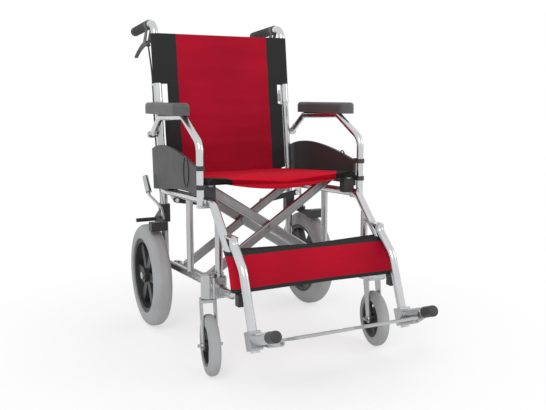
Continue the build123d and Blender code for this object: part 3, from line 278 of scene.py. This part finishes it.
def seat_material():
    """Red seat with black corners at the front and along the seat tubes."""
    fabric = Fabric("seat_cloth", (0.6, 0.002, 0.019))
    ahead = fabric.along((0, -1, 0))
    edge = fabric.span(ahead, SEAT_TUBE_X - 0.008, SEAT_TUBE_X - 0.062, 0.085, 0.168)
    return fabric.blacken(abs(fabric.along((1, 0, 0))) - edge, 0.0)


def strap_material():
    """Red strap with a black binding along both edges."""
    fabric = Fabric("strap_cloth", (0.42, 0.002, 0.018))
    off_middle = abs(fabric.along((0, 0, 1)) - (STRAP_LOW + STRAP_HIGH) / 2)
    return fabric.blacken(off_middle, (STRAP_HIGH - STRAP_LOW) / 2 - STRAP_BINDING)


def plugged_material():
    """Satin metal of the foot tube, whose last stretch is a dark plug."""
    finish = Finish("plugged_tube", FOOT_METAL, 0.3, metallic=1.0)
    plug = finish.step_at(finish.along(FOOT_DIR) - PLUG_START, 0.0)
    wear = finish.span(finish.cloud(14), 0, 1)
    bare = finish.mix(wear, FOOT_METAL, (0.44, 0.45, 0.46))
    finish.set("Base Color", finish.mix(plug, bare, (0.035, 0.035, 0.036)))
    finish.set("Metallic", 1.0 - plug)
    finish.set("Roughness", finish.span(plug, 0.3, 0.5, 0, 1))
    return finish.material


# One aluminium in two copies: lighter on the upper tubes for painted light, darker on the lower
# frame for painted shade.
lit_upper_aluminium = metal("bright_aluminium", (0.62, 0.63, 0.64), 0.22)
shaded_lower_aluminium = metal("frame_aluminium", (0.5, 0.505, 0.51), 0.28)
steel = metal("satin_steel", (0.48, 0.49, 0.5), 0.32)
brace_metal = metal("grey_brace", (0.34, 0.34, 0.345), 0.4)
black_metal = plastic("black_paint", BLACK_PLASTIC, 0.4)
black_plastic = plastic("black_plastic", BLACK_PLASTIC, 0.5)
rim_plastic = plastic("rim_plastic", BLACK_PLASTIC, 0.5)
grip_rubber = plastic("grip_rubber", BLACK_PLASTIC, 0.65)
cable_skin = plastic("cable_skin", BLACK_PLASTIC, 0.4)
pad_plastic = plastic("pad_plastic", (0.07, 0.07, 0.072), 0.5)
panel_plastic = plastic("panel_plastic", (0.03, 0.03, 0.031), 0.5)
plate_plastic = plastic("plate_plastic", (0.36, 0.365, 0.37), 0.4)
tyre_rubber = plastic("tyre_rubber", (0.33, 0.335, 0.34), 0.75, grain=500, depth=0.0004)
plugged_tube = plugged_material()
back_cloth = back_material()
seat_cloth = seat_material()
strap_cloth = strap_material()

looks = {
    "rail_tube": lit_upper_aluminium,
    "back_tube": lit_upper_aluminium,
    "arm_tube": lit_upper_aluminium,
    "hanger": lit_upper_aluminium,
    "rear_post": shaded_lower_aluminium,
    "lower_frame": shaded_lower_aluminium,
    "caster_head": shaded_lower_aluminium,
    "wheel_axle": steel,
    "back_latch": steel,
    "caster_fork": steel,
    "parking_lever": steel,
    "brace_a": brace_metal,
    "brace_b": brace_metal,
    "foot_bracket": plugged_tube,
    "parking_bracket": black_metal,
    "fold_link": black_metal,
    "frame_fittings": black_plastic,
    "brake_trigger": black_plastic,
    "parking_shoe": black_plastic,
    "caster_rim": rim_plastic,
    "wheel_rim": rim_plastic,
    "brake_handle": pad_plastic,
    "arm_pad": pad_plastic,
    "side_panel": panel_plastic,
    "footplate": plate_plastic,
    "grip": grip_rubber,
    "brake_cable": cable_skin,
    "caster_tyre": tyre_rubber,
    "wheel_tyre": tyre_rubber,
}


def shade_smooth(obj, angle):
    """Smooth faces, with sharp edges past an angle in degrees."""
    for face in obj.data.polygons:
        face.use_smooth = True
    bpy.ops.object.select_all(action="DESELECT")
    bpy.context.view_layer.objects.active = obj
    obj.select_set(True)
    bpy.ops.object.shade_smooth_by_angle(angle=math.radians(angle))


for name, obj in nodes.items():
    material = looks.get(name.replace("right_", "").replace("left_", ""))
    if material:
        obj.data.materials.clear()
        obj.data.materials.append(material)
    shade_smooth(obj, 32)


# Soft goods
def spread(start, end, steps):
    """Even steps from a start to an end, both included."""
    return [start + (end - start) * i / steps for i in range(steps + 1)]


def loft(name, loops, material):
    """A closed body through loops of points, capped at both ends."""
    mesh = bpy.data.meshes.new(name)
    build = bmesh.new()
    rings = [[build.verts.new(point) for point in loop] for loop in loops]
    count = len(rings[0])
    for ring, after in zip(rings, rings[1:]):
        for i in range(count):
            j = (i + 1) % count
            build.faces.new((ring[i], ring[j], after[j], after[i]))
    for ring in (rings[0], rings[-1]):
        middle = build.verts.new(sum((vert.co for vert in ring), Vector()) / count)
        for i in range(count):
            build.faces.new((ring[i], ring[(i + 1) % count], middle))
    bmesh.ops.recalc_face_normals(build, faces=build.faces)
    build.to_mesh(mesh)
    build.free()
    rest = mesh.attributes.new("rest_place", "FLOAT_VECTOR", "POINT")
    for vert, place in zip(mesh.vertices, rest.data):
        place.vector = vert.co
    obj = bpy.data.objects.new(name, mesh)
    bpy.context.scene.collection.objects.link(obj)
    mesh.materials.append(material)
    shade_smooth(obj, 50)
    return obj


def lean_point(x, behind, rise):
    """A point of the leaning back: behind the tubes, and up along them."""
    return Vector((
        x,
        POST_Y + behind * math.cos(LEAN) + rise * math.sin(LEAN),
        RAIL_REAR_Z - behind * math.sin(LEAN) + rise * math.cos(LEAN),
    ))


def rise_of(z):
    """How far up the leaning tubes a height is."""
    return (z - RAIL_REAR_Z) / math.cos(LEAN)


def ripple(x, rise, seed, size):
    """Soft horizontal wrinkles, strongest near the middle."""
    field = noise.noise(Vector((x * 3.0, rise * 26.0, seed)))
    fine = noise.noise(Vector((x * 7.0 + rise * 9.0, rise * 40.0, seed + 5.0)))
    fade = max(0.0, 1 - (abs(x) / 0.2) ** 4)
    return (field + 0.3 * fine) * size * fade


def back_front(x, rise):
    """The front of the back cloth, the same above and below its joint."""
    hollow = 0.003 * math.cos(x / 0.2 * math.pi / 2)
    return BACK_FRONT + hollow + ripple(x, rise, 3.1, 0.0036)


# Upper back, sleeved over both tubes
def sleeved_section(rise):
    """The upper back at a height: its shaped front, a flat rear and a sleeve round each tube."""
    outer = FRAME_R + SLEEVE_WALL

    def inset(x):
        return min(1.0, (FRAME_X - abs(x)) / SLEEVE_BLEND)

    def sleeve(x, start):
        turns = [start + math.pi * i / SLEEVE_STEPS for i in range(1, SLEEVE_STEPS)]
        return [(x + outer * math.cos(turn), outer * math.sin(turn)) for turn in turns]

    front = [
        (x, -outer + (back_front(x, rise) + outer) * inset(x))
        for x in spread(-FRAME_X, FRAME_X, BACK_STEPS)
    ]
    rear = [
        (x, outer + (BACK_REAR - outer) * inset(x))
        for x in spread(FRAME_X, -FRAME_X, BACK_STEPS)
    ]
    return front + sleeve(FRAME_X, -math.pi / 2) + rear + sleeve(-FRAME_X, math.pi / 2)


upper_loops = [
    [lean_point(x, behind, rise) for x, behind in sleeved_section(rise)]
    for rise in spread(rise_of(BACK_JOIN), rise_of(BACK_TOP), UPPER_ROWS)
]
upper_back = loft("upper_back_cloth", upper_loops, back_cloth)
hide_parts("back_sling_upper")
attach(upper_back, "right_back")
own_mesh(upper_back)


# Lower back, between the tubes
def lower_half(rise):
    """Half the width of the lower back, narrower where it passes the tubes' fittings."""
    if rise < rise_of(FITTINGS_Z):
        return FITTINGS_HALF
    return LOWER_HALF if rise < HINGE_RISE else HINGE_HALF


lower_loops = []
for rise in spread(rise_of(BACK_BOTTOM), rise_of(BACK_JOIN), LOWER_ROWS):
    half = lower_half(rise)
    front, rear = [], []
    for x in spread(-half, half, BACK_STEPS):
        hem = HEM_DEPTH * max(0.0, (abs(x) - half + HEM_WIDTH) / HEM_WIDTH) ** 2
        front.append(lean_point(x, back_front(x, rise) + hem, rise))
        rear.append(lean_point(x, BACK_REAR - hem, rise))
    lower_loops.append(front + rear[::-1])
lower_back = loft("lower_back_cloth", lower_loops, back_cloth)
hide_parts("back_sling_lower")
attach(lower_back, "right_frame")
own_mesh(lower_back)


# Seat, drawn over the seat tubes
def seat_place(x, rise, along):
    """A point of the seat: across, above the lower rail's line, and forward of the rear post."""
    return Vector((
        x,
        POST_Y - along * math.cos(SLOPE) + rise * math.sin(SLOPE),
        LOWER_RAIL_Z + along * math.sin(SLOPE) + rise * math.cos(SLOPE),
    ))


def seat_side(x, along, upper):
    """A point of the seat's upper or under side, closed by a round roll at the front."""
    across = math.cos(x / SEAT_TUBE_X * math.pi / 2)
    off_tube = SEAT_TUBE_X - abs(x)
    swell = math.exp(-((SEAT_FRONT - along) / SEAT_SWELL) ** 2)
    if upper:
        puff = 0.0025 * noise.noise(Vector((x * 9, along * 11, 2.0)))
        inset = min(1.0, off_tube / 0.02)
        side = SEAT_OUTER + (0.001 + puff - 0.006 * swell) * across
    else:
        sag = 0.024 * (abs(x) < 0.17)
        inset = min(1.0, off_tube / 0.034)
        side = SEAT_INNER - 0.0073 * inset - (sag + 0.004 * swell) * across
    ahead = max(0.0, along - (SEAT_FRONT - SEAT_ROLL)) / SEAT_ROLL
    roll = math.sqrt(max(0.0, 1 - ahead ** 2))
    middle = -0.002 - 0.009 * across
    return seat_place(x, SEAT_TUBE_RISE + side + (middle - side) * (1 - roll) * inset, along)


def seat_wrap(hand, radius, turns, along):
    """Points round a seat tube, from its top outwards. The hand is 1 for left and -1 for right."""
    return [
        seat_place(
            hand * (SEAT_TUBE_X - radius * math.cos(turn)),
            SEAT_TUBE_RISE + radius * math.sin(turn),
            along,
        )
        for turn in turns
    ]


seat_loops = []
turns = [math.pi / 2 + SEAT_WRAP * i / SEAT_WRAP_STEPS for i in range(SEAT_WRAP_STEPS + 1)]
for row in range(SEAT_ROWS + 1):
    along = SEAT_REAR + (SEAT_FRONT - SEAT_REAR) * (row / SEAT_ROWS) ** 0.8
    top = [seat_side(x, along, True) for x in spread(-SEAT_TUBE_X, SEAT_TUBE_X, SEAT_STEPS)]
    under = [seat_side(x, along, False) for x in spread(SEAT_TUBE_X, -SEAT_TUBE_X, SEAT_STEPS)]
    seat_loops.append(
        top
        + seat_wrap(1, SEAT_OUTER, turns[1:], along)
        + seat_wrap(1, SEAT_INNER, turns[::-1], along)
        + under[1:-1]
        + seat_wrap(-1, SEAT_INNER, turns, along)
        + seat_wrap(-1, SEAT_OUTER, turns[:0:-1], along)
    )
seat = loft("seat_cloth", seat_loops, seat_cloth)
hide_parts("seat_sling")
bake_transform(seat)


# Calf strap, a sleeve round both front tubes with a sheet between them. Each place of a front
# tube is its height, its middle there and half its depth.
FRONT_TUBE = [
    (0.229, -0.3155, 0.0110),
    (0.240, -0.3132, 0.0110),
    (0.255, -0.3097, 0.0116),
    (0.270, -0.3046, 0.0117),
    (0.285, -0.2991, 0.0120),
    (0.300, -0.2894, 0.0145),
    (0.315, -0.2755, 0.0156),
    (0.321, -0.2694, 0.0156),
]


def front_tube_at(z):
    """Where the front tubes are at a height, and half their depth."""
    for (low, y0, half0), (high, y1, half1) in zip(FRONT_TUBE, FRONT_TUBE[1:]):
        if z <= high:
            share = (z - low) / (high - low)
            return y0 + (y1 - y0) * share, half0 + (half1 - half0) * share
    return FRONT_TUBE[-1][1:]


def strap_loop(z):
    """The strap at a height: its front, one tube, its rear and the other tube."""
    tube_y, half = front_tube_at(z)
    deep, wide = half + STRAP_WALL, FRAME_R + STRAP_WALL
    hem = STRAP_HEM * (min(z - STRAP_LOW, STRAP_HIGH - z) < STRAP_BINDING)

    def sheet(x, behind):
        fade = max(0.0, 1 - (abs(x) / 0.2) ** 2)
        wave = 0.0045 * noise.noise(Vector((x * 9.0, z * 22.0, 6.0))) * fade
        return Vector((x, tube_y - deep + 0.005 * fade + wave - hem * fade + behind, z))

    def sleeve(hand, turns):
        return [
            Vector((hand * (FRAME_X + wide * math.cos(turn)), tube_y + deep * math.sin(turn), z))
            for turn in turns
        ]

    turns = [-math.pi / 2 + STRAP_WRAP * i / STRAP_WRAP_STEPS for i in range(1, STRAP_WRAP_STEPS)]
    reach = FRAME_X - wide * 0.6
    front = [sheet(x, 0.0) for x in spread(-FRAME_X, FRAME_X, STRAP_STEPS)]
    rear = [sheet(x, STRAP_WALL + hem) for x in spread(reach, -reach, STRAP_STEPS)]
    return front + sleeve(1, turns) + rear + sleeve(-1, turns[::-1])


strap_loops = [strap_loop(z) for z in spread(STRAP_LOW, STRAP_HIGH, STRAP_ROWS)]
strap = loft("calf_band", strap_loops, strap_cloth)
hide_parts("calf_strap")
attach(strap, "right_frame")
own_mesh(strap)

# Studio: a pale floor that fades to white, white surroundings and soft lights
bpy.ops.mesh.primitive_plane_add(size=40, location=(0, 0, -0.0005))
floor = bpy.context.object
floor.name = "floor"
pale = Finish("pale_floor", (0.96, 0.96, 0.96), 0.9)
white = pale.add("ShaderNodeEmission", inputs={"Color": (1, 1, 1)})
distance = pale.add("ShaderNodeVectorMath", {"operation": "LENGTH"}, {0: pale.coords}, "Value")
fade = pale.span(distance, 0.6, 1, 0.45, 1.0) * pale.seen_directly()
lit = Value(pale, pale.shader.outputs[0])
surface = pale.add("ShaderNodeMixShader", inputs={"Fac": fade, 1: lit, 2: white})
pale.fill(pale.tree.nodes["Material Output"].inputs["Surface"], surface)
floor.data.materials.append(pale.material)

world = bpy.data.worlds.new("studio")
bpy.context.scene.world = world
sky = NodeSpace(world)
background = sky.tree.nodes["Background"]
sky.fill(background.inputs["Color"], (1, 1, 1))
sky.fill(background.inputs["Strength"], sky.span(sky.seen_directly(), 0.8, 1.0, 0, 1))


def soft_light(name, place, target, size, power):
    """A large square light that faces a point."""
    data = bpy.data.lights.new(name, "AREA")
    data.size = size
    data.energy = power
    light = bpy.data.objects.new(name, data)
    light.location = place
    facing = Vector(target) - Vector(place)
    light.rotation_euler = facing.to_track_quat("-Z", "Y").to_euler()
    bpy.context.scene.collection.objects.link(light)


soft_light("key", (-1.9, -2.4, 2.8), (0, 0, 0.4), 1.4, 36)
soft_light("fill", (2.6, -1.6, 1.8), (0, 0, 0.5), 1.2, 14)

camera_data = bpy.data.cameras.new("photo_camera")
camera_data.sensor_width = 36
camera_data.lens = 45.71
camera = bpy.data.objects.new("photo_camera", camera_data)
camera.location = (-0.81927, -1.76824, 0.68233)
camera.rotation_euler = (math.radians(90 - 8.885), 0, math.radians(-25.8))
bpy.context.scene.collection.objects.link(camera)
bpy.context.scene.camera = camera
bpy.context.scene.view_settings.view_transform = "Standard"
